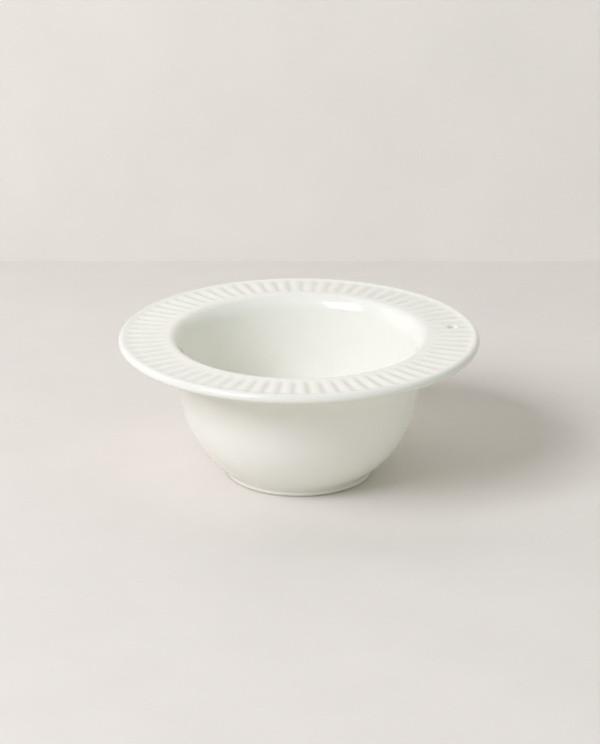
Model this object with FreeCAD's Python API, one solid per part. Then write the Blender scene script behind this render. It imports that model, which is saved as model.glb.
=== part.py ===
"""Shaving bowl: one fired porcelain body with a fluted rim, and the two glaze layers on it.

Frame: millimetres, +Z up. The origin is the centre of the foot ring's underside, so the bowl
stands on z = 0. The hanging hole in the rim lies on +X, in the middle of one flute's groove.
"""
import FreeCAD, Part
import os
from math import atan2, cos, pi, radians, sin, sqrt

Vector = FreeCAD.Vector

# Driving dimensions
RIM_RADIUS = 80.0
HEIGHT = 65.0
LIP_RADIUS = 2.1        # half the thickness of the rounded lip
LIP_HOLLOW = 20.0       # radius of the soft hollow between the lip and the flutes
LIP_RISE = 0.35         # how far the lip's top stands above the crests of the flutes
SHOULDER_EDGE = 58.0    # where the flat rim starts to turn down into the well
SHOULDER_RADIUS = 4.5
SHOULDER_TURN = 47.0    # degrees of turn before the wider curve of the well's flared mouth
FLARE_RADIUS = 12.0
BELLY_CENTRE = (6.0, 41.7)   # radius and height of the centre of the belly's curve
BELLY_RADIUS = 47.2
WALL = 4.5              # thickness of the belly's wall
NECK_RADIUS = 7.0       # fillet between the wall and the rim's underside
NECK_CENTRE_R = 63.0
KNUCKLE_RADIUS = 18.0   # curve between the well's wall and its bottom
BOTTOM_RADIUS = 150.0   # the well's bottom is very slightly dished
BOTTOM_LEVEL = 7.5
FOOT_OUTER = 32.8
FOOT_INNER = 28.4
FOOT_EDGE = 1.0         # rounding of the foot ring's two lower edges
CREASE_RADIUS = 2.0     # fillet between the foot ring and the belly
RECESS_DEPTH = 3.0      # height of the base's underside inside the foot ring
RECESS_CORNER = 1.5

FLUTES = 72
FLUTE_DEPTH = 0.5
FLUTE_WIDTH = 3.9       # width of one groove at the level of the crests
FLUTE_INNER = 60.0      # where the grooves start, from the bowl's axis
FLUTE_OUTER = 76.3      # where they end

HOLE_CENTRE_R = 69.3
HOLE_RADIUS = 1.7
HOLE_EDGE = 1.4         # rounding of the hole's two mouths

GLAZE = 0.3             # thickness of the glaze
GLAZE_LINE = 0.7        # the foot ring is bare below this height

# Sizes that follow from them
FIELD_LEVEL = HEIGHT - LIP_RISE
UNDERSIDE_LEVEL = HEIGHT - 2 * LIP_RADIUS
GROOVE_RADIUS = (FLUTE_WIDTH ** 2 / 4 + FLUTE_DEPTH ** 2) / (2 * FLUTE_DEPTH)
SHORTEST_LINE = 1e-6


def far_crossing(first, first_distance, second, second_distance):
    """The point that is at the two distances from two centres, the one further from the axis."""
    dr = second[0] - first[0]
    dz = second[1] - first[1]
    span = sqrt(dr ** 2 + dz ** 2)
    along = (first_distance ** 2 - second_distance ** 2 + span ** 2) / (2 * span)
    across = sqrt(first_distance ** 2 - along ** 2)
    middle = (first[0] + dr * along / span, first[1] + dz * along / span)
    offset = (dz * across / span, -dr * across / span)
    one = (middle[0] + offset[0], middle[1] + offset[1])
    other = (middle[0] - offset[0], middle[1] - offset[1])
    return max(one, other)


def section_rounds():
    """The rounds of the half section, from the base's underside outwards and back to the well.

    Each is (radius from the axis, height, radius of curvature) of a round's centre. The radius of
    curvature is positive where the clay bulges and negative where it is hollow.
    """
    crease_r = FOOT_OUTER + CREASE_RADIUS
    crease_reach = BELLY_RADIUS + CREASE_RADIUS
    crease_z = BELLY_CENTRE[1] - sqrt(crease_reach ** 2 - (crease_r - BELLY_CENTRE[0]) ** 2)
    lip = (RIM_RADIUS - LIP_RADIUS, HEIGHT - LIP_RADIUS)
    hollow_z = FIELD_LEVEL + LIP_HOLLOW
    hollow_r = lip[0] - sqrt((LIP_RADIUS + LIP_HOLLOW) ** 2 - (hollow_z - lip[1]) ** 2)
    shoulder = (SHOULDER_EDGE, FIELD_LEVEL - SHOULDER_RADIUS)
    flare_reach = FLARE_RADIUS - SHOULDER_RADIUS
    flare = (shoulder[0] + flare_reach * sin(radians(SHOULDER_TURN)),
             shoulder[1] - flare_reach * cos(radians(SHOULDER_TURN)))
    well_radius = BELLY_RADIUS - WALL
    bottom = (0.0, BOTTOM_LEVEL + BOTTOM_RADIUS)
    knuckle = far_crossing(BELLY_CENTRE, well_radius - KNUCKLE_RADIUS,
                           bottom, BOTTOM_RADIUS - KNUCKLE_RADIUS)
    return [
        (FOOT_INNER - RECESS_CORNER, RECESS_DEPTH - RECESS_CORNER, -RECESS_CORNER),
        (FOOT_INNER + FOOT_EDGE, FOOT_EDGE, FOOT_EDGE),
        (FOOT_OUTER - FOOT_EDGE, FOOT_EDGE, FOOT_EDGE),
        (crease_r, crease_z, -CREASE_RADIUS),
        (*BELLY_CENTRE, BELLY_RADIUS),
        (NECK_CENTRE_R, UNDERSIDE_LEVEL - NECK_RADIUS, -NECK_RADIUS),
        (*lip, LIP_RADIUS),
        (hollow_r, hollow_z, -LIP_HOLLOW),
        (*shoulder, SHOULDER_RADIUS),
        (*flare, FLARE_RADIUS),
        (*BELLY_CENTRE, -well_radius),
        (*knuckle, -KNUCKLE_RADIUS),
        (*bottom, -BOTTOM_RADIUS),
    ]


def set_back(rounds, skin):
    """The same rounds, with the surface a glaze's thickness inside, but still standing on z = 0."""
    result = []
    for r, z, curvature in rounds:
        stands_on_floor = abs(z - curvature) < SHORTEST_LINE
        result.append((r, z - skin if stands_on_floor else z, curvature - skin))
    return result


def heading(first, second):
    """The direction of the straight line that leaves one round and runs onto the next."""
    dr = second[0] - first[0]
    dz = second[1] - first[1]
    turn = second[2] - first[2]
    length = sqrt(max(dr ** 2 + dz ** 2 - turn ** 2, 0.0))
    return atan2(dz, dr) - atan2(turn, length)


def point_on(a_round, direction):
    """The point of a round where its outline runs in a direction."""
    r, z, curvature = a_round
    return Vector(r + curvature * sin(direction), 0, z - curvature * cos(direction))


def outline(skin):
    """The closed half section in the XZ plane, its surface set back by a skin's thickness."""
    rounds = set_back(section_rounds(), skin)
    headings = [0.0]
    for first, second in zip(rounds, rounds[1:]):
        way = 1 if first[2] > 0 else -1
        turn = way * (heading(first, second) - headings[-1]) % (2 * pi)
        headings.append(headings[-1] + way * turn)
    headings.append(pi)
    edges = []
    here = Vector(0, 0, point_on(rounds[0], headings[0]).z)
    start = here
    for a_round, arriving, leaving in zip(rounds, headings, headings[1:]):
        first = point_on(a_round, arriving)
        middle = point_on(a_round, (arriving + leaving) / 2)
        last = point_on(a_round, leaving)
        if here.distanceToPoint(first) > SHORTEST_LINE:
            edges.append(Part.LineSegment(here, first).toShape())
            here = first
        edges.append(Part.Arc(here, middle, last).toShape())
        here = last
    edges.append(Part.LineSegment(here, start).toShape())
    return Part.Wire(edges)


def turned_solid(wire):
    """A full turn of a half section about the bowl's axis."""
    return Part.Face(wire).revolve(Vector(0, 0, 0), Vector(0, 0, 1), 360)


def groove_cutter(skin):
    """A round-ended bar that lies along +X and cuts one flute's groove."""
    radius = GROOVE_RADIUS + skin
    level = FIELD_LEVEL - FLUTE_DEPTH + GROOVE_RADIUS
    end_run = FLUTE_WIDTH / 2
    inner = FLUTE_INNER + end_run
    outer = FLUTE_OUTER - end_run
    bar = Part.makeCylinder(radius, outer - inner, Vector(inner, 0, level), Vector(1, 0, 0))
    inner_end = Part.makeSphere(radius, Vector(inner, 0, level))
    outer_end = Part.makeSphere(radius, Vector(outer, 0, level))
    return bar.fuse([inner_end, outer_end]).removeSplitter()


def hole_cutter(skin):
    """A bar that cuts the hanging hole with its two rounded mouths."""
    bore = HOLE_RADIUS + skin
    edge = HOLE_EDGE - skin
    top = FIELD_LEVEL - skin
    under = UNDERSIDE_LEVEL + skin
    mouth = bore + edge
    clear = LIP_RISE + FLUTE_DEPTH
    diagonal = edge * (1 - sqrt(0.5))
    corners = [Vector(0, 0, under - clear), Vector(mouth, 0, under - clear), Vector(mouth, 0, under)]
    lower_mid = Vector(bore + diagonal, 0, under + diagonal)
    lower_end = Vector(bore, 0, under + edge)
    upper_start = Vector(bore, 0, top - edge)
    upper_mid = Vector(bore + diagonal, 0, top - diagonal)
    lid = [Vector(mouth, 0, top), Vector(mouth, 0, top + clear), Vector(0, 0, top + clear)]
    edges = [
        Part.LineSegment(corners[0], corners[1]).toShape(),
        Part.LineSegment(corners[1], corners[2]).toShape(),
        Part.Arc(corners[2], lower_mid, lower_end).toShape(),
        Part.LineSegment(lower_end, upper_start).toShape(),
        Part.Arc(upper_start, upper_mid, lid[0]).toShape(),
        Part.LineSegment(lid[0], lid[1]).toShape(),
        Part.LineSegment(lid[1], lid[2]).toShape(),
        Part.LineSegment(lid[2], corners[0]).toShape(),
    ]
    bar = turned_solid(Part.Wire(edges))
    bar.translate(Vector(HOLE_CENTRE_R, 0, 0))
    return bar


def bowl_shape(skin):
    """The whole bowl with its flutes and hole, its surface set back by a skin's thickness."""
    cutters = [hole_cutter(skin)]
    groove = groove_cutter(skin)
    for index in range(FLUTES):
        cutter = groove.copy()
        cutter.rotate(Vector(0, 0, 0), Vector(0, 0, 1), 360 * index / FLUTES)
        cutters.append(cutter)
    return turned_solid(outline(skin)).cut(cutters)


def glaze_layers(glazed, body):
    """What the glaze adds to the body above the bare foot: the outer coat and the base's patch."""
    bare_foot = Part.makeCylinder(RIM_RADIUS, GLAZE_LINE)
    layers = glazed.cut([body, bare_foot]).Solids
    layers.sort(key=lambda solid: solid.BoundBox.XLength, reverse=True)
    return layers


def write(name, shape):
    """Save one sub-part under its node's name, and say what it is."""
    shape.exportStep("parts/" + name + ".step")
    box = shape.optimalBoundingBox(False, False)
    print(name, "valid", shape.isValid(), "solids", len(shape.Solids), "faces", len(shape.Faces),
          "volume %.0f mm3" % shape.Volume,
          "box %.2f x %.2f x %.2f mm" % (box.XLength, box.YLength, box.ZLength))


def main():
    """Build the bowl's body and its glaze, and write them."""
    os.makedirs("parts", exist_ok=True)
    body = bowl_shape(GLAZE)
    glaze_coat, base_glaze = glaze_layers(bowl_shape(0.0), body)
    write("porcelain_body", body)
    write("glaze_coat", glaze_coat)
    write("base_glaze", base_glaze)


main()
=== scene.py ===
"""Shaving bowl: a white glazed porcelain bowl with a fluted rim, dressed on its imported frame.

Sizes are in millimetres unless a name says otherwise; meshes are made in metres.
"""

import logging
from dataclasses import dataclass, field
from enum import Enum
from math import atan2, ceil, cos, hypot, pi, radians, sin, sqrt

import bmesh
import bpy
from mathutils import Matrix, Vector


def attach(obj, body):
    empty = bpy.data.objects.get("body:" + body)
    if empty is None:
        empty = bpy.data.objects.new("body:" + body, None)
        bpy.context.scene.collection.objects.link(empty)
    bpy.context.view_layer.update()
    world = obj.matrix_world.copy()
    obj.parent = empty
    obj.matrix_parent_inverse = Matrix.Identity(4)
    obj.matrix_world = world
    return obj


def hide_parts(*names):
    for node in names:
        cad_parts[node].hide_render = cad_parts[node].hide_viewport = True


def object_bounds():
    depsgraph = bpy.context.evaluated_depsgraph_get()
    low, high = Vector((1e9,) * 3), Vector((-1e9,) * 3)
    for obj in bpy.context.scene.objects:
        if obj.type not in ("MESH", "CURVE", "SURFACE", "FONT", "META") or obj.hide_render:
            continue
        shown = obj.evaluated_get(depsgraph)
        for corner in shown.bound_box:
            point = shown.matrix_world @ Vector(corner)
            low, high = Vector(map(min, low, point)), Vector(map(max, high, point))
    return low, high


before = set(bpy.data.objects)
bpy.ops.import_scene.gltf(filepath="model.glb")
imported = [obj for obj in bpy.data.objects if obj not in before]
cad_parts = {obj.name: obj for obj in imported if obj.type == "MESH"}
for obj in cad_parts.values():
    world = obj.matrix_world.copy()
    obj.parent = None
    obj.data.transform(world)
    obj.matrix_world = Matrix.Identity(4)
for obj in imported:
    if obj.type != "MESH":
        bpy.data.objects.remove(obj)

log = logging.getLogger("shaving_bowl")

MM = 0.001
PER_METRE = 1 / MM
SHORTEST_LINE = 1e-6
MERGE_DISTANCE_M = 1e-6
CAD_BOX = [list(corner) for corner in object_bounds()]
RIM_RADIUS = CAD_BOX[1][0] / MM
HEIGHT = CAD_BOX[1][2] / MM

Point = tuple[float, float]
Material = bpy.types.Material
Tree = bpy.types.NodeTree
Node = bpy.types.Node
Socket = bpy.types.NodeSocket
Operand = float | Socket | Node
Mesh = bmesh.types.BMesh
Vertex = bmesh.types.BMVert


# ---- colours and node trees


def linear_colour(hex_code: str) -> tuple[float, float, float, float]:
    """Turn an sRGB hex colour into the linear values that Blender's nodes take.

    Args:
        hex_code: The colour as six hex digits, such as "e9e8e2".

    Returns:
        Linear red, green and blue, and an alpha of 1.
    """
    channels = []
    for start in (0, 2, 4):
        value = int(hex_code[start:start + 2], 16) / 255
        channels.append(value / 12.92 if value <= 0.04045 else ((value + 0.055) / 1.055) ** 2.4)
    return (*channels, 1.0)


def add_node(tree: Tree, kind: str, settings: dict[str, object] | None = None,
             **links: object) -> Node:
    """Add a node to a tree, with its settings, its socket values and its incoming links.

    Args:
        tree: The material, world or geometry tree that gets the node.
        kind: The node's type name.
        settings: Properties to set on the node itself.
        links: A value, an output socket or a node with that as its first output for each input,
            named by the input's name with underscores for spaces, or by "i" and its number.

    Returns:
        The new node.
    """
    node = tree.nodes.new(kind)
    for name, value in (settings or {}).items():
        setattr(node, name, value)
    for name, value in links.items():
        numbered = name[0] == "i" and name[1:].isdigit()
        socket = node.inputs[int(name[1:]) if numbered else name.replace("_", " ")]
        if isinstance(value, Node):
            value = value.outputs[0]
        if isinstance(value, Socket):
            tree.links.new(value, socket)
        else:
            socket.default_value = value
    return node


def start_material(name: str) -> tuple[Material, Socket]:
    """Start a material whose patterns lie on Object coordinates.

    Args:
        name: The material's name.

    Returns:
        The material, and the socket of its tree that gives a place in metres.
    """
    made = bpy.data.materials.new(name)
    made.use_nodes = True
    made.node_tree.nodes.clear()
    return made, add_node(made.node_tree, "ShaderNodeTexCoord").outputs["Object"]


# ---- finishes


@dataclass(frozen=True)
class GlazeFinish:
    """Clear feldspathic glaze over white porcelain, dipped and fired to a smooth glossy skin.

    It gives the eye a bright soft white with small sharp reflections on the tight curves. It is a
    touch greener and darker where it gathers in hollows, and a touch greyer on its convex edges.
    """

    name: str = "porcelain_white_glaze"
    thin: str = "eaeae2"
    ground: str = "f3f2ea"
    pooled: str = "e3e3d7"
    ground_pooling: float = 0.4
    roughness: float = 0.09
    smoother_by: float = 0.02
    rougher_by: float = 0.03
    ior: float = 1.5
    mottle_mm: float = 14.0
    mottle_pooling: float = 0.06
    noise_range: tuple[float, float] = (0.35, 0.65)
    speck: str = "b9ad97"
    speck_spacing_mm: float = 7.0
    speck_core_mm: float = 0.084
    speck_edge_mm: float = 0.21
    speck_odds: float = 0.1
    speck_strength: float = 0.35
    ripple_mm: float = 9.0
    ripple_height_mm: float = 0.006
    pinhole_mm: float = 1.6
    pinhole_height_mm: float = 0.004

    def material(self) -> Material:
        """Make the glaze's material.

        Returns:
            A material that reads Object coordinates and the "pooling" attribute.
        """
        made, place = start_material(self.name)
        tree = made.node_tree

        # Glaze of uneven thickness, thin to pooled
        low, high = self.noise_range
        cloud = add_node(tree, "ShaderNodeTexNoise", Vector=place, Detail=3.0, Roughness=0.5,
                         Scale=PER_METRE / self.mottle_mm)
        mottle = add_node(tree, "ShaderNodeMapRange", Value=cloud, From_Min=low, From_Max=high,
                          To_Min=-self.mottle_pooling, To_Max=self.mottle_pooling)
        gathered = add_node(tree, "ShaderNodeAttribute", {"attribute_name": "pooling"})
        depth = add_node(tree, "ShaderNodeMath", {"operation": "ADD"}, i1=mottle,
                         i0=gathered.outputs["Fac"])
        ramp = add_node(tree, "ShaderNodeValToRGB", Fac=depth)
        stops = ramp.color_ramp.elements
        stops[0].position = 0.0
        # The first stop's colour greys the convex edges, the lip among them.
        stops[0].color = linear_colour(self.thin)
        stops[1].position = 1.0
        stops[1].color = linear_colour(self.pooled)
        stops.new(self.ground_pooling).color = linear_colour(self.ground)

        # Iron specks, a handful on the whole bowl, as fired porcelain has
        grain = add_node(tree, "ShaderNodeTexVoronoi", {"feature": "F1"}, Vector=place,
                         Scale=PER_METRE / self.speck_spacing_mm, Randomness=1.0).outputs
        dot = add_node(tree, "ShaderNodeMapRange", Value=grain["Distance"],
                       From_Min=self.speck_core_mm / self.speck_spacing_mm,
                       From_Max=self.speck_edge_mm / self.speck_spacing_mm, To_Min=1.0, To_Max=0.0)
        pick = add_node(tree, "ShaderNodeSeparateColor", Color=grain["Color"])
        rare = add_node(tree, "ShaderNodeMath", {"operation": "GREATER_THAN"}, i0=pick,
                        i1=1 - self.speck_odds)
        share = add_node(tree, "ShaderNodeMath", {"operation": "MULTIPLY"}, i0=dot, i1=rare)
        share = add_node(tree, "ShaderNodeMath", {"operation": "MULTIPLY"}, i0=share,
                         i1=self.speck_strength)
        colour = add_node(tree, "ShaderNodeMix", {"data_type": "RGBA"}, i0=share, i6=ramp,
                          i7=linear_colour(self.speck)).outputs[2]

        # The skin's slow ripple and pinholes, the latter drawn coarser than real ones to show
        ripple = add_node(tree, "ShaderNodeTexNoise", Vector=place, Detail=2.0, Roughness=0.45,
                          Scale=PER_METRE / self.ripple_mm)
        wave = add_node(tree, "ShaderNodeBump", Strength=1.0, Height=ripple,
                        Distance=self.ripple_height_mm * MM)
        pits = add_node(tree, "ShaderNodeTexNoise", Vector=place, Detail=1.0, Roughness=0.5,
                        Scale=PER_METRE / self.pinhole_mm)
        skin = add_node(tree, "ShaderNodeBump", Strength=1.0, Height=pits, Normal=wave,
                        Distance=self.pinhole_height_mm * MM)
        gloss = add_node(tree, "ShaderNodeMapRange", Value=mottle, From_Min=-self.mottle_pooling,
                         From_Max=self.mottle_pooling, To_Min=self.roughness - self.smoother_by,
                         To_Max=self.roughness + self.rougher_by)

        shader = add_node(tree, "ShaderNodeBsdfPrincipled", Base_Color=colour, Roughness=gloss,
                          IOR=self.ior, Normal=skin)
        add_node(tree, "ShaderNodeOutputMaterial", Surface=shader)
        return made


@dataclass(frozen=True)
class BiscuitFinish:
    """Fired porcelain biscuit, ground on a wet belt where the foot ring stands.

    It gives the eye a dry, faintly gritty cream, without gloss beside the glaze.
    """

    name: str = "ground_porcelain_biscuit"
    stained: str = "d2c9ba"
    clay: str = "e4ddd0"
    stained_below: float = 0.38
    clay_above: float = 0.55
    roughness: float = 0.78
    ior: float = 1.5
    stain_mm: float = 6.0
    grit_mm: float = 0.35
    grit_height_mm: float = 0.02

    def material(self) -> Material:
        """Make the biscuit's material.

        Returns:
            A material that reads Object coordinates.
        """
        made, place = start_material(self.name)
        tree = made.node_tree
        stain = add_node(tree, "ShaderNodeTexNoise", Vector=place, Detail=5.0, Roughness=0.6,
                         Scale=PER_METRE / self.stain_mm)
        ramp = add_node(tree, "ShaderNodeValToRGB", Fac=stain)
        stops = ramp.color_ramp.elements
        stops[0].position = self.stained_below
        stops[0].color = linear_colour(self.stained)
        stops[1].position = self.clay_above
        stops[1].color = linear_colour(self.clay)
        grit = add_node(tree, "ShaderNodeTexNoise", Vector=place, Detail=3.0, Roughness=0.7,
                        Scale=PER_METRE / self.grit_mm)
        rough = add_node(tree, "ShaderNodeBump", Strength=1.0, Height=grit,
                         Distance=self.grit_height_mm * MM)
        shader = add_node(tree, "ShaderNodeBsdfPrincipled", Base_Color=ramp,
                          Roughness=self.roughness, IOR=self.ior, Normal=rough)
        add_node(tree, "ShaderNodeOutputMaterial", Surface=shader)
        return made


# ---- the bowl's section


class Skin(Enum):
    """A layer's two faces: the one that looks out of the bowl, and the one on the clay."""

    OUTER = 0.0
    INNER = 1.0


@dataclass(frozen=True)
class Outline:
    """A closed half section from axis to axis: its points, and the skin that each is on."""

    points: list[Point]
    skins: list[Skin]


@dataclass(frozen=True)
class Round:
    """One round of the section: its centre, and its radius, positive where the clay bulges.

    Its step is the longest that a mesh may take along it where it shows.
    """

    r: float
    z: float
    curvature: float
    step: float

    def set_back(self, depth: float) -> "Round":
        """The same round set back into the clay, but still on the floor if it stands on it."""
        z = self.z - depth if abs(self.z - self.curvature) < SHORTEST_LINE else self.z
        return Round(self.r, z, self.curvature - depth, self.step)

    def point(self, heading: float) -> Point:
        """The point where the outline runs in a direction, as radius and height."""
        return (self.r + self.curvature * sin(heading), self.z - self.curvature * cos(heading))

    def heading_to(self, other: "Round") -> float:
        """The direction of the straight line that leaves this round and runs onto another."""
        dr, dz, turn = other.r - self.r, other.z - self.z, other.curvature - self.curvature
        return atan2(dz, dr) - atan2(turn, sqrt(max(dr ** 2 + dz ** 2 - turn ** 2, 0.0)))


# Runs of the section's rounds
WHOLE = slice(0, None)
ABOVE_GLAZE_LINE = slice(3, None)
IN_RECESS = slice(0, 1)

# Turns of the mesh's points on the rolled edge of the glaze
EDGE_TURNS = (pi / 8, pi / 4, 3 * pi / 8)

# Fewest mesh steps along a round
LEAST_STEPS = 2


@dataclass
class BowlSection:
    """The bowl's half section: tangent rounds from under the base outwards and back to the well."""

    lip_radius: float = 2.1
    lip_hollow: float = 20.0  # radius of the soft hollow inside the lip
    lip_rise: float = 0.35  # the lip's top above the flutes' crests
    shoulder_edge: float = 58.0  # where the flat rim starts to turn down into the well
    shoulder_radius: float = 4.5
    shoulder_turn_deg: float = 47.0
    flare_radius: float = 12.0
    belly_r: float = 6.0
    belly_z: float = 41.7
    belly_radius: float = 47.2
    wall: float = 4.5
    neck_radius: float = 7.0  # fillet between the belly and the rim's underside
    neck_r: float = 63.0
    knuckle_radius: float = 18.0  # curve between the well's wall and its bottom
    bottom_radius: float = 150.0
    bottom_level: float = 7.5
    foot_outer: float = 32.8
    foot_inner: float = 28.4
    foot_edge: float = 1.0
    crease_radius: float = 2.0  # fillet between the foot ring and the belly
    recess_depth: float = 3.0
    recess_corner: float = 1.5
    glaze: float = 0.3
    glaze_line: float = 0.7  # the foot ring is bare below this height
    line_step: float = 4.0
    body_coarse: float = 1.3
    on_clay_coarse: float = 3.5

    @property
    def field_level(self) -> float:
        """Height of the flat rim's crests."""
        return HEIGHT - self.lip_rise

    @property
    def underside_level(self) -> float:
        """Height of the rim's underside."""
        return HEIGHT - 2 * self.lip_radius

    def knuckle(self) -> Point:
        """Find the centre of the curve that joins the well's wall to its bottom, tangent to both.

        Returns:
            The centre, as radius and height.
        """
        reach = self.belly_radius - self.wall - self.knuckle_radius
        drop = self.bottom_radius - self.knuckle_radius
        bottom_z = self.bottom_level + self.bottom_radius
        dr, dz = -self.belly_r, bottom_z - self.belly_z
        span = hypot(dr, dz)
        along = (reach ** 2 - drop ** 2 + span ** 2) / (2 * span)
        across = sqrt(reach ** 2 - along ** 2)
        return (self.belly_r + (dr * along + dz * across) / span,
                self.belly_z + (dz * along - dr * across) / span)

    def flare(self) -> Point:
        """Find the centre of the well's flared mouth, which takes over from the shoulder's turn.

        Returns:
            The centre, as radius and height.
        """
        turn = radians(self.shoulder_turn_deg)
        reach = self.flare_radius - self.shoulder_radius
        return (self.shoulder_edge + reach * sin(turn),
                self.field_level - self.shoulder_radius - reach * cos(turn))

    def rounds(self) -> list[Round]:
        """List the section's rounds in order.

        Returns:
            The rounds from the recess under the base, over the foot ring, belly, rim, lip and
            flutes, to the bottom of the well.
        """
        crease_r = self.foot_outer + self.crease_radius
        crease_reach = self.belly_radius + self.crease_radius
        crease_z = self.belly_z - sqrt(crease_reach ** 2 - (crease_r - self.belly_r) ** 2)
        lip_r, lip_z = RIM_RADIUS - self.lip_radius, HEIGHT - self.lip_radius
        hollow_z = self.field_level + self.lip_hollow
        hollow_r = lip_r - sqrt((self.lip_radius + self.lip_hollow) ** 2 - (hollow_z - lip_z) ** 2)
        shoulder_z = self.field_level - self.shoulder_radius
        neck_z = self.underside_level - self.neck_radius
        well_radius = self.belly_radius - self.wall
        return [
            Round(self.foot_inner - self.recess_corner, self.recess_depth - self.recess_corner,
                  -self.recess_corner, step=0.5),
            Round(self.foot_inner + self.foot_edge, self.foot_edge, self.foot_edge, step=0.4),
            Round(self.foot_outer - self.foot_edge, self.foot_edge, self.foot_edge, step=0.4),
            Round(crease_r, crease_z, -self.crease_radius, step=0.4),
            Round(self.belly_r, self.belly_z, self.belly_radius, step=3.0),
            Round(self.neck_r, neck_z, -self.neck_radius, step=1.4),
            Round(lip_r, lip_z, self.lip_radius, step=0.65),
            Round(hollow_r, hollow_z, -self.lip_hollow, step=0.9),
            Round(self.shoulder_edge, shoulder_z, self.shoulder_radius, step=0.5),
            Round(*self.flare(), self.flare_radius, step=1.2),
            Round(self.belly_r, self.belly_z, -well_radius, step=3.0),
            Round(*self.knuckle(), -self.knuckle_radius, step=2.2),
            Round(0.0, self.bottom_level + self.bottom_radius, -self.bottom_radius, step=6.0),
        ]

    def trace(self, depth: float, run: slice, start: Point, heading: float, end_heading: float,
              coarse: float = 1.0) -> list[Point]:
        """Trace a run of the section as mesh points.

        Args:
            depth: How far inside the glazed surface the run lies.
            run: The rounds that it follows.
            start: The point that it starts from.
            heading: Direction of the outline at the start.
            end_heading: Direction of the outline where the last round ends.
            coarse: How many times longer the steps are than on a surface that shows.

        Returns:
            Points as radius and height, in order, with no two alike.
        """
        rounds = [a_round.set_back(depth) for a_round in self.rounds()[run]]
        points = [start]
        for index, here in enumerate(rounds):
            points += self.line_points(points[-1], here.point(heading), coarse)
            leaving = end_heading
            if index + 1 < len(rounds):
                way = 1 if here.curvature > 0 else -1
                turn = way * (here.heading_to(rounds[index + 1]) - heading) % (2 * pi)
                leaving = heading + way * turn
            sweep = leaving - heading
            steps = ceil(abs(sweep * here.curvature) / (here.step * coarse))
            steps = max(LEAST_STEPS, steps)
            points += [here.point(heading + sweep * step / steps) for step in range(1, steps + 1)]
            heading = leaving
        return points

    def line_points(self, start: Point, end: Point, coarse: float) -> list[Point]:
        """List the mesh points of a straight run, on the hole's own rings where it passes the hole.

        Args:
            start: Where the run starts.
            end: Where it ends.
            coarse: How many times longer the steps are than on a surface that shows.

        Returns:
            The points after the start, the end among them, or none for a run of no length.
        """
        length = hypot(end[0] - start[0], end[1] - start[1])
        if length < SHORTEST_LINE:
            return []
        inner, outer = sorted((start[0], end[0]))
        if inner < HangingHole.centre_r < outer:
            rings = self.rings_beside_hole(inner, outer)
            if end[0] < start[0]:
                rings.reverse()
            return [*((ring, start[1]) for ring in rings), end]
        steps = ceil(length / (self.line_step * coarse))
        return [(start[0] + (end[0] - start[0]) * step / steps,
                 start[1] + (end[1] - start[1]) * step / steps) for step in range(1, steps + 1)]

    def rings_beside_hole(self, inner: float, outer: float) -> list[float]:
        """Space the mesh's rings from the hole's centre, so that both faces of the rim match there.

        Args:
            inner: Radius where the run starts.
            outer: Radius where it ends.

        Returns:
            The rings' radii, none closer to the run's ends than a third of a step.
        """
        step = HangingHole.ring_step
        margin = step / 3
        count = ceil((outer - inner) / step)
        radii = [HangingHole.centre_r + step * ring for ring in range(-count, count + 1)]
        return [radius for radius in radii if inner + margin < radius < outer - margin]

    def body_outline(self) -> Outline:
        """Trace the porcelain body, from the axis under the base to the axis in the well.

        Returns:
            The body's outline, all of it an outer skin.
        """
        roof = (0.0, self.recess_depth + self.glaze)
        points = self.trace(self.glaze, WHOLE, roof, 0.0, pi, self.body_coarse)
        return Outline(points, [Skin.OUTER] * len(points))

    def coat_outline(self) -> Outline:
        """Trace the glaze coat: its face on the clay, its rolled edge at the foot, its shown face.

        Returns:
            The coat's outline.
        """
        clay_r = self.foot_outer - self.glaze
        edge_z = self.glaze_line + self.glaze
        on_clay = self.trace(self.glaze, ABOVE_GLAZE_LINE, (clay_r, self.glaze_line), pi / 2, pi,
                             self.on_clay_coarse)
        on_clay.reverse()
        edge = [(clay_r + self.glaze * sin(turn), edge_z - self.glaze * cos(turn))
                for turn in EDGE_TURNS]
        shown = edge + self.trace(0.0, ABOVE_GLAZE_LINE, (self.foot_outer, edge_z), pi / 2, pi)
        return Outline(on_clay + shown, [Skin.INNER] * len(on_clay) + [Skin.OUTER] * len(shown))

    def base_outline(self) -> Outline:
        """Trace the base glaze: its shown face, its rolled edge at the foot, its face on the clay.

        Returns:
            The patch's outline.
        """
        edge_z = self.glaze_line + self.glaze
        clay_r = self.foot_inner + self.glaze
        shown = self.trace(0.0, IN_RECESS, (0.0, self.recess_depth), 0.0, -pi / 2)
        on_clay = self.trace(self.glaze, IN_RECESS, (0.0, self.recess_depth + self.glaze), 0.0,
                             -pi / 2)
        on_clay.append((clay_r, self.glaze_line))
        on_clay.reverse()
        edge = [(clay_r - self.glaze * cos(turn), edge_z - self.glaze * sin(turn))
                for turn in EDGE_TURNS]
        hidden = edge + on_clay
        return Outline(shown + hidden, [Skin.OUTER] * len(shown) + [Skin.INNER] * len(hidden))


# ---- turning, flutes and the hanging hole


def ease(share: float) -> float:
    """A share that starts and ends smoothly, and is 1 from there on."""
    share = min(1.0, share)
    return share * share * (3 - 2 * share)


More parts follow.
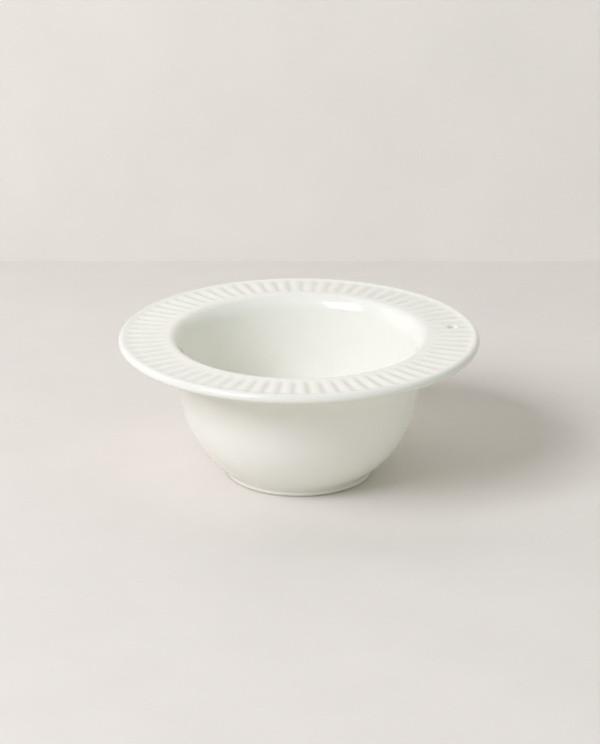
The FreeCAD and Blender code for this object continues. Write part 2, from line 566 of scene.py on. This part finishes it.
@dataclass
class Flutes:
    """The flat rim's radial flutes: wide rounded reeds with narrow grooves, one groove on +X."""

    count: int = 72
    depth: float = 0.5
    sharpness: float = 1.7
    inner: float = 59.0
    outer: float = 77.0
    inner_fade: float = 5.0
    outer_fade: float = 2.6
    reach_down: float = 1.5  # no groove this far below the crests
    depth_spread: float = 0.1
    pooling: float = 0.45

    def share(self, r: float, z: float, level: float) -> float:
        """Say how deep the grooves are at a point of the section, as a share of their depth.

        Args:
            r: Radius from the axis.
            z: Height.
            level: Height of the flat rim's top face there.

        Returns:
            0 off the flat rim and 1 along the middle of a groove, with a smooth fade at each end.
        """
        if z < level - self.reach_down or not self.inner < r < self.outer:
            return 0.0
        return ease((r - self.inner) / self.inner_fade) * ease((self.outer - r) / self.outer_fade)


class FlutedTurning:
    """A Geometry Nodes tree that turns a section about the axis and presses flutes into its rim."""

    def __init__(self) -> None:
        """Build the tree and note the identifier of each input."""
        self.tree = bpy.data.node_groups.new("fluted_turning", "GeometryNodeTree")
        face = self.tree.interface
        face.new_socket("Section", in_out="INPUT", socket_type="NodeSocketGeometry")
        for name, kind in (("Around", "Int"), ("Flutes", "Int"), ("Groove Depth", "Float"),
                           ("Groove Sharpness", "Float"), ("Depth Spread", "Float"),
                           ("Groove Pooling", "Float"), ("Waver", "Float"),
                           ("Waver Length", "Float"), ("Full Height", "Float"), ("Seed", "Int"),
                           ("Material", "Material")):
            face.new_socket(name, in_out="INPUT", socket_type="NodeSocket" + kind)
        face.new_socket("Ware", in_out="OUTPUT", socket_type="NodeSocketGeometry")
        self.inputs = {item.name: item.identifier for item in face.items_tree
                       if item.in_out == "INPUT"}
        self.fill()

    def maths(self, operation: str, first: Operand, second: Operand = 0.0) -> Node:
        """One step of arithmetic in the tree."""
        return add_node(self.tree, "ShaderNodeMath", {"operation": operation}, i0=first, i1=second)

    def whole(self, operation: str, first: Operand, second: Operand) -> Node:
        """One step of whole-number arithmetic in the tree."""
        return add_node(self.tree, "FunctionNodeIntegerMath", {"operation": operation}, i0=first,
                        i1=second)

    def vectors(self, operation: str, **links: object) -> Node:
        """One step of vector arithmetic in the tree."""
        return add_node(self.tree, "ShaderNodeVectorMath", {"operation": operation}, **links)

    def fill(self) -> None:
        """Add the tree's nodes."""
        tree = self.tree
        given = add_node(tree, "NodeGroupInput").outputs
        section = given["Section"]

        # A grid of one row for each point of the section
        rings = add_node(tree, "GeometryNodeAttributeDomainSize", Geometry=section)
        columns = self.whole("ADD", given["Around"], 1)
        grid = add_node(tree, "GeometryNodeMeshGrid", Size_X=1.0, Size_Y=1.0, Vertices_Y=columns,
                        Vertices_X=rings)
        index = add_node(tree, "GeometryNodeInputIndex")
        ring = self.whole("DIVIDE_FLOOR", index, columns)
        column = self.whole("MODULO", index, columns)
        position = add_node(tree, "GeometryNodeInputPosition")
        place = self.sampled(section, "FLOAT_VECTOR", position, ring)
        share = self.sampled(section, "FLOAT", self.named("flute_share"), ring)
        pooling = self.sampled(section, "FLOAT", self.named("pooling"), ring)
        skin = self.sampled(section, "FLOAT", self.named("skin"), ring)

        # The grooves, each a little deeper or shallower than the next
        turn = self.maths("DIVIDE", column, given["Around"])
        angle = self.maths("MULTIPLY", turn, 2 * pi)
        swing = self.maths("COSINE", self.maths("MULTIPLY", angle, given["Flutes"]))
        half = self.maths("MULTIPLY", self.maths("ADD", swing, 1.0), 0.5)
        groove = self.maths("POWER", half, given["Groove Sharpness"])
        nearest = self.maths("ROUND", self.maths("MULTIPLY", turn, given["Flutes"]))
        flute = self.maths("FLOORED_MODULO", nearest, given["Flutes"])
        uneven = add_node(tree, "FunctionNodeRandomValue", {"data_type": "FLOAT"}, i2=-1.0, i3=1.0,
                          ID=flute, Seed=given["Seed"]).outputs[1]
        strength = self.maths("ADD", 1.0, self.maths("MULTIPLY", uneven, given["Depth Spread"]))
        cut = self.maths("MULTIPLY", self.maths("MULTIPLY", groove, share), strength)
        drop = self.maths("MULTIPLY", cut, given["Groove Depth"])

        # The turned ware, with a slow waver that grows with height
        point = add_node(tree, "ShaderNodeSeparateXYZ", Vector=place).outputs
        turned = add_node(tree, "ShaderNodeCombineXYZ",
                          X=self.maths("MULTIPLY", point["X"], self.maths("COSINE", angle)),
                          Y=self.maths("MULTIPLY", point["X"], self.maths("SINE", angle)),
                          Z=self.maths("SUBTRACT", point["Z"], drop))
        scale = self.maths("DIVIDE", 1.0, given["Waver Length"])
        noise = add_node(tree, "ShaderNodeTexNoise", {"noise_dimensions": "4D"}, Vector=turned,
                         W=given["Seed"], Scale=scale, Detail=1.0, Roughness=0.4).outputs["Color"]
        centred = self.vectors("SUBTRACT", i0=noise, i1=(0.5, 0.5, 0.5))
        lift = self.maths("DIVIDE", point["Z"], given["Full Height"])
        reach = self.maths("MULTIPLY", self.maths("MULTIPLY", lift, given["Waver"]), 2.0)
        waver = self.vectors("SCALE", i0=centred, Scale=reach)
        wavered = self.vectors("ADD", i0=turned, i1=waver)

        ware = add_node(tree, "GeometryNodeSetPosition", Geometry=grid, Position=wavered)
        groove_pooling = self.maths("MULTIPLY", cut, given["Groove Pooling"])
        ware = self.kept(ware, "pooling", self.maths("ADD", pooling, groove_pooling))
        ware = self.kept(ware, "skin", skin)
        ware = add_node(tree, "GeometryNodeMergeByDistance", Geometry=ware,
                        Distance=MERGE_DISTANCE_M)
        ware = add_node(tree, "GeometryNodeFlipFaces", Mesh=ware)
        ware = add_node(tree, "GeometryNodeSetShadeSmooth", Geometry=ware, Shade_Smooth=True)
        ware = add_node(tree, "GeometryNodeRealizeInstances", Geometry=ware)
        ware = add_node(tree, "GeometryNodeSetMaterial", Geometry=ware, Material=given["Material"])
        add_node(tree, "NodeGroupOutput", Ware=ware)

    def named(self, name: str) -> Node:
        """The values of a named attribute of the section."""
        return add_node(self.tree, "GeometryNodeInputNamedAttribute", {"data_type": "FLOAT"},
                        Name=name)

    def sampled(self, section: Socket, kind: str, values: Node, ring: Node) -> Node:
        """The section's value for the ring that each vertex is on."""
        return add_node(self.tree, "GeometryNodeSampleIndex",
                        {"data_type": kind, "domain": "POINT"},
                        Geometry=section, Value=values, Index=ring)

    def kept(self, ware: Node, name: str, values: Node) -> Node:
        """Store a value on each vertex of the ware under a name."""
        return add_node(self.tree, "GeometryNodeStoreNamedAttribute",
                        {"data_type": "FLOAT", "domain": "POINT"},
                        Geometry=ware, Name=name, Value=values)


@dataclass
class HangingHole:
    """The small pierced hole in one groove of the rim, with soft rounded mouths."""

    centre_r: float = 69.3
    radius: float = 1.7
    edge: float = 1.4
    ring_step: float = 1.35
    block_rings: int = 3
    block_half_width: float = 3.7
    collar_shares: tuple[float, float] = (0.5, 1.0)
    edge_steps: int = 5
    bore_steps: int = 2
    pooling: float = 0.75
    flat_normal: float = 0.5  # least height of a normal on the rim's two faces

    def pierce(self, work: Mesh, top: float, under: float, depth: float, skin: Skin) -> None:
        """Cut the hole through one skin of the rim and line it.

        Args:
            work: The piece's mesh.
            top: Height of the rim's top face on the glaze.
            under: Height of its underside on the glaze.
            depth: How far inside the glaze this skin lies.
            skin: The skin. The faces of an inner one look into the clay.
        """
        inward = skin is Skin.INNER
        skins = work.verts.layers.float["skin"]
        up = -1.0 if inward else 1.0
        upper = self.open_loop(work, skins, skin, up)
        lower = self.open_loop(work, skins, skin, -up)
        bore = self.radius + depth
        edge = self.edge - depth
        mouth = bore + edge
        level = top - depth
        rings = [self.add_loop(work, upper, mouth, level, lost=0.0, reach=share)
                 for share in self.collar_shares]
        brim = rings[-1]
        for step in range(1, self.edge_steps + 1):
            turn = pi / 2 * step / self.edge_steps
            rings.append(self.add_loop(work, brim, mouth - edge * sin(turn), level,
                                       lost=step / self.edge_steps, drop=edge * (cos(turn) - 1)))
        floor = under + depth
        drop_from, drop_to = level - edge, floor + edge
        for step in range(1, self.bore_steps):
            z = drop_from + (drop_to - drop_from) * step / self.bore_steps
            rings.append(self.add_loop(work, upper, bore, z))
        for step in range(self.edge_steps + 1):
            turn = pi / 2 * (1 - step / self.edge_steps)
            z = floor + edge * (1 - cos(turn))
            rings.append(self.add_loop(work, upper, mouth - edge * sin(turn), z))
        loops = [upper, *rings, lower]
        for outer, inner in zip(loops, loops[1:]):
            for index in range(len(outer)):
                after = (index + 1) % len(outer)
                corners = [outer[index], outer[after], inner[after], inner[index]]
                if inward:
                    corners.reverse()
                work.faces.new(corners).smooth = True
        pooling = work.verts.layers.float["pooling"]
        for ring in rings:
            for vertex in ring:
                vertex[pooling] = self.pooling
                vertex[skins] = skin.value

    def bearing(self, vertex: Vertex) -> float:
        """A vertex's direction from the hole's centre, as an angle."""
        return atan2(vertex.co.y, vertex.co.x - self.centre_r * MM)

    def open_loop(self, work: Mesh, skins: bmesh.types.BMLayerItem, skin: Skin,
                  up: float) -> list[Vertex]:
        """Take out the block of faces round the hole in one face of the rim.

        Args:
            work: The piece's mesh.
            skins: The layer of the "skin" attribute.
            skin: The skin that is opened.
            up: 1 for faces that look up and -1 for faces that look down.

        Returns:
            The vertices round the opening, counterclockwise from above.
        """
        reach = self.block_rings * self.ring_step * MM
        doomed = []
        for face in work.faces:
            centre = face.calc_center_median()
            out = hypot(centre.x, centre.y) - self.centre_r * MM
            beside = centre.x > 0 and abs(centre.y) < self.block_half_width * MM
            looks_there = face.normal.z * up > self.flat_normal
            on_skin = round(face.verts[0][skins]) == skin.value
            if abs(out) < reach and beside and looks_there and on_skin:
                doomed.append(face)
        bmesh.ops.delete(work, geom=doomed, context="FACES")
        around = {vertex for edge in work.edges if edge.is_boundary for vertex in edge.verts}
        near = [vertex for vertex in around
                if round(vertex[skins]) == skin.value and self.side(vertex) == up]
        return sorted(near, key=self.bearing)

    @staticmethod
    def side(vertex: Vertex) -> float:
        """1 for a vertex whose faces look up and -1 for one whose faces look down."""
        return 1.0 if vertex.link_faces[0].normal.z > 0 else -1.0

    def add_loop(self, work: Mesh, rim: list[Vertex], radius: float, level: float,
                 lost: float = 1.0, drop: float = 0.0, reach: float = 1.0) -> list[Vertex]:
        """Add a ring with a vertex on each bearing of another ring.

        Args:
            work: The piece's mesh.
            rim: The other ring.
            radius: Radius round the hole's axis.
            level: Height of the ring once it has lost the other ring's own waviness.
            lost: How much of the waviness it has lost.
            drop: How far it lies above that.
            reach: How much of the way from the other ring to its own place it goes.

        Returns:
            The ring's vertices.
        """
        ring = []
        for vertex in rim:
            x, y, z = vertex.co
            turn = self.bearing(vertex)
            x += ((self.centre_r + radius * cos(turn)) * MM - x) * reach
            y += (radius * sin(turn) * MM - y) * reach
            z += (level * MM - z) * lost + drop * MM
            ring.append(work.verts.new((x, y, z)))
        return ring


# ---- the bowl's pieces


@dataclass
class Turning:
    """How every piece is turned: the section, the flutes, the hole, and how fine the mesh is."""

    section: BowlSection = field(default_factory=BowlSection)
    flutes: Flutes = field(default_factory=Flutes)
    hole: HangingHole = field(default_factory=HangingHole)
    maker: FlutedTurning = field(default_factory=FlutedTurning)
    around: int = 576
    waver: float = 0.06
    waver_length: float = 55.0
    seed: int = 4
    plain_pooling: float = 0.4
    pooling_per_curvature: float = 0.8

    def section_object(self, name: str, outline: Outline) -> bpy.types.Object:
        """Make the section as a line of vertices that carries what the tree reads.

        Args:
            name: Name of the object.
            outline: The closed section.

        Returns:
            The object, in metres, in the XZ plane.
        """
        mesh = bpy.data.meshes.new(name)
        points = [(r * MM, 0.0, z * MM) for r, z in outline.points]
        mesh.from_pydata(points, [(index, index + 1) for index in range(len(points) - 1)], [])
        level = self.section.field_level
        shares = [self.flutes.share(r, z, level) for r, z in outline.points]
        pooling = [self.pooling_at(outline.points, index) for index in range(len(points))]
        skins = [skin.value for skin in outline.skins]
        for label, values in (("flute_share", shares), ("pooling", pooling), ("skin", skins)):
            mesh.attributes.new(label, "FLOAT", "POINT").data.foreach_set("value", values)
        made = bpy.data.objects.new(name, mesh)
        bpy.context.scene.collection.objects.link(made)
        return made

    def pooling_at(self, points: list[Point], index: int) -> float:
        """Say how much glaze gathers at a point: more in a hollow, less on an edge.

        Args:
            points: The section's points.
            index: Which point it is.

        Returns:
            0 on the sharpest convex edges and 1 where the glaze gathers most.
        """
        if index in (0, len(points) - 1):
            return self.plain_pooling
        before, here, after = (Vector(points[index + step]) for step in (-1, 0, 1))
        arriving, leaving = here - before, after - here
        bend = arriving.angle_signed(leaving, 0.0)
        curvature = -bend / ((arriving.length + leaving.length) / 2)
        return min(1.0, max(0.0, self.plain_pooling - self.pooling_per_curvature * curvature))

    def turn(self, name: str, outline: Outline, material: Material) -> bpy.types.Object:
        """Turn an outline about the axis with Geometry Nodes, and keep the result as a plain mesh.

        Args:
            name: Name of the piece.
            outline: The closed section.
            material: The finish of the piece.

        Returns:
            The piece, with no modifier left on it.
        """
        raw = self.section_object(name + "_section", outline)
        modifier = raw.modifiers.new("turning", "NODES")
        modifier.node_group = self.maker.tree
        flutes = self.flutes
        values = {
            "Around": self.around, "Flutes": flutes.count, "Groove Depth": flutes.depth * MM,
            "Groove Sharpness": flutes.sharpness, "Depth Spread": flutes.depth_spread,
            "Groove Pooling": flutes.pooling, "Waver": self.waver * MM,
            "Waver Length": self.waver_length * MM, "Full Height": HEIGHT * MM,
            "Seed": self.seed, "Material": material,
        }
        for label, value in values.items():
            modifier[self.maker.inputs[label]] = value
        bpy.context.view_layer.update()
        ready = raw.evaluated_get(bpy.context.evaluated_depsgraph_get())
        mesh = bpy.data.meshes.new_from_object(ready)
        mesh.name = name
        mesh.materials.clear()
        mesh.materials.append(material)
        mesh.polygons.foreach_set("material_index", [0] * len(mesh.polygons))
        piece = bpy.data.objects.new(name, mesh)
        bpy.context.scene.collection.objects.link(piece)
        bpy.data.objects.remove(raw)
        return piece

    def pierce(self, piece: bpy.types.Object, skins: list[tuple[float, Skin]]) -> None:
        """Cut the hanging hole through each skin of a piece.

        Args:
            piece: The piece.
            skins: For each of its skins, how far that is inside the glaze, and which skin it is.
        """
        work = bmesh.new()
        work.from_mesh(piece.data)
        top, under = self.section.field_level, self.section.underside_level
        for depth, skin in skins:
            self.hole.pierce(work, top, under, depth, skin)
        work.to_mesh(piece.data)
        work.free()


def dress(piece: bpy.types.Object, node: str) -> None:
    """Ride a piece on the bowl's one body, in place of a CAD node, which is hidden.

    Args:
        piece: The finished piece.
        node: The CAD node that it stands for.
    """
    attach(piece, "root")
    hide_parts(node)
    log.info("%s: %d faces, stands for %s", piece.name, len(piece.data.polygons), node)


@dataclass
class BowlPiece:
    """A piece of the bowl, as it is turned and finished."""

    turning: Turning
    material: Material


class PorcelainBody(BowlPiece):
    """The one-piece fired body; only its ground foot ring shows below the glaze."""

    def build(self) -> None:
        """Turn the body, pierce it and put it in the frame in place of its CAD node."""
        section = self.turning.section
        piece = self.turning.turn("porcelain_bowl", section.body_outline(), self.material)
        self.turning.pierce(piece, [(section.glaze, Skin.OUTER)])
        dress(piece, "porcelain_body")


class GlazeCoat(BowlPiece):
    """The glaze that runs from the foot ring's outside over the lip to the well's bottom."""

    def build(self) -> None:
        """Turn the coat as a thin closed shell, line the hole and put it in its node's place."""
        section = self.turning.section
        piece = self.turning.turn("white_glaze", section.coat_outline(), self.material)
        self.turning.pierce(piece, [(0.0, Skin.OUTER), (section.glaze, Skin.INNER)])
        dress(piece, "glaze_coat")


class BaseGlaze(BowlPiece):
    """The separate patch of glaze in the recess inside the foot ring."""

    def build(self) -> None:
        """Turn the patch as a thin closed shell and put it in its CAD node's place."""
        outline = self.turning.section.base_outline()
        piece = self.turning.turn("base_patch_glaze", outline, self.material)
        dress(piece, "base_glaze")


# ---- the studio


@dataclass(frozen=True)
class PlasterFinish:
    """Smooth painted plaster, trowelled: a warm pale grey, faintly uneven and without gloss.

    It is clear from behind, so that the bowl can be looked at from there.
    """

    name: str
    paint: str
    roughness: float = 0.85
    ior: float = 1.45
    specular_level: float = 0.2
    mottle_mm: float = 60.0
    mottle_share: float = 0.02
    noise_range: tuple[float, float] = (0.3, 0.7)
    grain_mm: float = 2.2
    grain_height_mm: float = 0.05

    def material(self) -> Material:
        """Make the plaster's material.

        Returns:
            A material that reads Object coordinates.
        """
        made, place = start_material(self.name)
        tree = made.node_tree
        low, high = self.noise_range
        cloud = add_node(tree, "ShaderNodeTexNoise", Vector=place, Detail=4.0, Roughness=0.6,
                         Scale=PER_METRE / self.mottle_mm)
        value = add_node(tree, "ShaderNodeMapRange", Value=cloud, From_Min=low, From_Max=high,
                         To_Min=1 - self.mottle_share, To_Max=1 + self.mottle_share)
        colour = add_node(tree, "ShaderNodeHueSaturation", Value=value,
                          Color=linear_colour(self.paint))
        grain = add_node(tree, "ShaderNodeTexNoise", Vector=place, Detail=4.0, Roughness=0.6,
                         Scale=PER_METRE / self.grain_mm)
        rough = add_node(tree, "ShaderNodeBump", Strength=1.0, Height=grain,
                         Distance=self.grain_height_mm * MM)
        shader = add_node(tree, "ShaderNodeBsdfPrincipled", Base_Color=colour, IOR=self.ior,
                          Roughness=self.roughness, Specular_IOR_Level=self.specular_level,
                          Normal=rough)
        behind = add_node(tree, "ShaderNodeNewGeometry").outputs["Backfacing"]
        clear = add_node(tree, "ShaderNodeBsdfTransparent")
        one_sided = add_node(tree, "ShaderNodeMixShader", i0=behind, i1=shader, i2=clear)
        add_node(tree, "ShaderNodeOutputMaterial", Surface=one_sided)
        return made


@dataclass
class Studio:
    """A pale plaster floor and wall, a large soft light from the front left, and the camera.

    The set's own axes are x to the right, y away from the camera and z up; it is turned about the
    bowl so that the hanging hole lies a little behind the right-hand end of the rim. The camera's
    distances are in rim radii.
    """

    turned_deg: float = -8.5
    wall_behind: float = 306.0
    reach: float = 3000.0
    camera_back: float = 15.104
    camera_rise: float = 5.278
    camera_tilt_deg: float = 20.03
    camera_aim_deg: float = 0.02
    lens_mm: float = 139.8
    clip_near_m: float = 0.05
    clip_far_m: float = 20.0
    key_bearing_deg: float = 220.3
    key_height_deg: float = 40.0
    key_distance: float = 2600.0
    key_width: float = 1350.0
    key_length: float = 1100.0
    key_watts: float = 53.0
    key_tint: str = "f6f6ff"
    surround_tint: str = "f7fff7"
    surround_strength: float = 0.535
    surround_lean: float = 0.75
    surround_bearing_deg: float = 357.0
    surround_height_deg: float = -50.0

    def place(self, x: float, y: float, z: float) -> Vector:
        """A point of the set in the bowl's frame, in metres."""
        turn = radians(self.turned_deg)
        return Vector((x * cos(turn) - y * sin(turn), x * sin(turn) + y * cos(turn), z)) * MM

    def direction(self, bearing_deg: float, height_deg: float) -> Vector:
        """A unit vector in the bowl's frame, towards a bearing of the set and a height."""
        bearing, height = radians(bearing_deg + self.turned_deg), radians(height_deg)
        return Vector((cos(bearing) * cos(height), sin(bearing) * cos(height), sin(height)))

    def sheet(self, name: str, corners: list[tuple[float, float, float]],
              finish: PlasterFinish) -> None:
        """Make a flat sheet of the backdrop.

        Args:
            name: Name of the sheet.
            corners: Its four corners in the set, in order as seen from its front.
            finish: The paint on it.
        """
        mesh = bpy.data.meshes.new(name)
        mesh.from_pydata([self.place(*corner) for corner in corners], [], [(0, 1, 2, 3)])
        mesh.materials.append(finish.material())
        made = bpy.data.objects.new(name, mesh)
        bpy.context.scene.collection.objects.link(made)

    def build_backdrop(self) -> None:
        """Lay the floor and stand the wall behind the bowl."""
        far, wall = self.reach, self.wall_behind
        self.sheet("floor", [(-far, -far, 0), (far, -far, 0), (far, far, 0), (-far, far, 0)],
                   PlasterFinish("pale_plaster_floor", "e5e0da"))
        self.sheet("wall", [(-far, wall, 0), (far, wall, 0), (far, wall, far), (-far, wall, far)],
                   PlasterFinish("pale_plaster_wall", "ebe6e0"))

    def build_light(self) -> None:
        """Hang the key light, aimed at the middle of the foot ring."""
        data = bpy.data.lights.new("key_softbox", "AREA")
        data.shape = "RECTANGLE"
        data.size = self.key_width * MM
        data.size_y = self.key_length * MM
        data.energy = self.key_watts
        data.color = linear_colour(self.key_tint)[:3]
        lamp = bpy.data.objects.new("key_softbox", data)
        bpy.context.scene.collection.objects.link(lamp)
        aim = self.direction(self.key_bearing_deg, self.key_height_deg)
        lamp.location = aim * self.key_distance * MM
        lamp.rotation_mode = "QUATERNION"
        lamp.rotation_quaternion = lamp.location.to_track_quat("Z", "Y")

    def build_surround(self) -> None:
        """Set the pale surround, which is brighter low on the right."""
        world = bpy.data.worlds.new("studio_surround")
        bpy.context.scene.world = world
        world.use_nodes = True
        tree = world.node_tree
        tree.nodes.clear()
        bright_side = self.direction(self.surround_bearing_deg, self.surround_height_deg)
        ray = add_node(tree, "ShaderNodeTexCoord").outputs["Generated"]
        lean = add_node(tree, "ShaderNodeVectorMath", {"operation": "DOT_PRODUCT"}, i0=ray,
                        i1=bright_side).outputs["Value"]
        strength = add_node(tree, "ShaderNodeMath", {"operation": "MULTIPLY_ADD"}, i0=lean,
                            i1=self.surround_strength * self.surround_lean,
                            i2=self.surround_strength)
        sky = add_node(tree, "ShaderNodeBackground", Color=linear_colour(self.surround_tint),
                       Strength=strength)
        add_node(tree, "ShaderNodeOutputWorld", Surface=sky)

    def build_camera(self) -> None:
        """Set the camera in front of the bowl, looking down on it through a long lens."""
        data = bpy.data.cameras.new("camera")
        data.lens = self.lens_mm
        data.clip_start = self.clip_near_m
        data.clip_end = self.clip_far_m
        camera = bpy.data.objects.new("camera", data)
        bpy.context.scene.collection.objects.link(camera)
        camera.location = self.place(0.0, -self.camera_back * RIM_RADIUS,
                                     HEIGHT + self.camera_rise * RIM_RADIUS)
        camera.rotation_euler = (radians(90 - self.camera_tilt_deg), 0.0,
                                 radians(self.turned_deg - self.camera_aim_deg))
        bpy.context.scene.camera = camera
        bpy.context.scene.view_settings.view_transform = "Standard"

    def build(self) -> None:
        """Set up the backdrop, the light, the surround and the camera."""
        self.build_backdrop()
        self.build_light()
        self.build_surround()
        self.build_camera()


def main() -> None:
    """Build the bowl's pieces and the studio."""
    logging.basicConfig(level=logging.INFO, format="%(name)s %(message)s")
    glaze = GlazeFinish().material()
    biscuit = BiscuitFinish().material()
    turning = Turning()
    for piece in (PorcelainBody(turning, biscuit), GlazeCoat(turning, glaze),
                  BaseGlaze(turning, glaze)):
        piece.build()
    Studio().build()


if __name__ == "__main__":
    main()
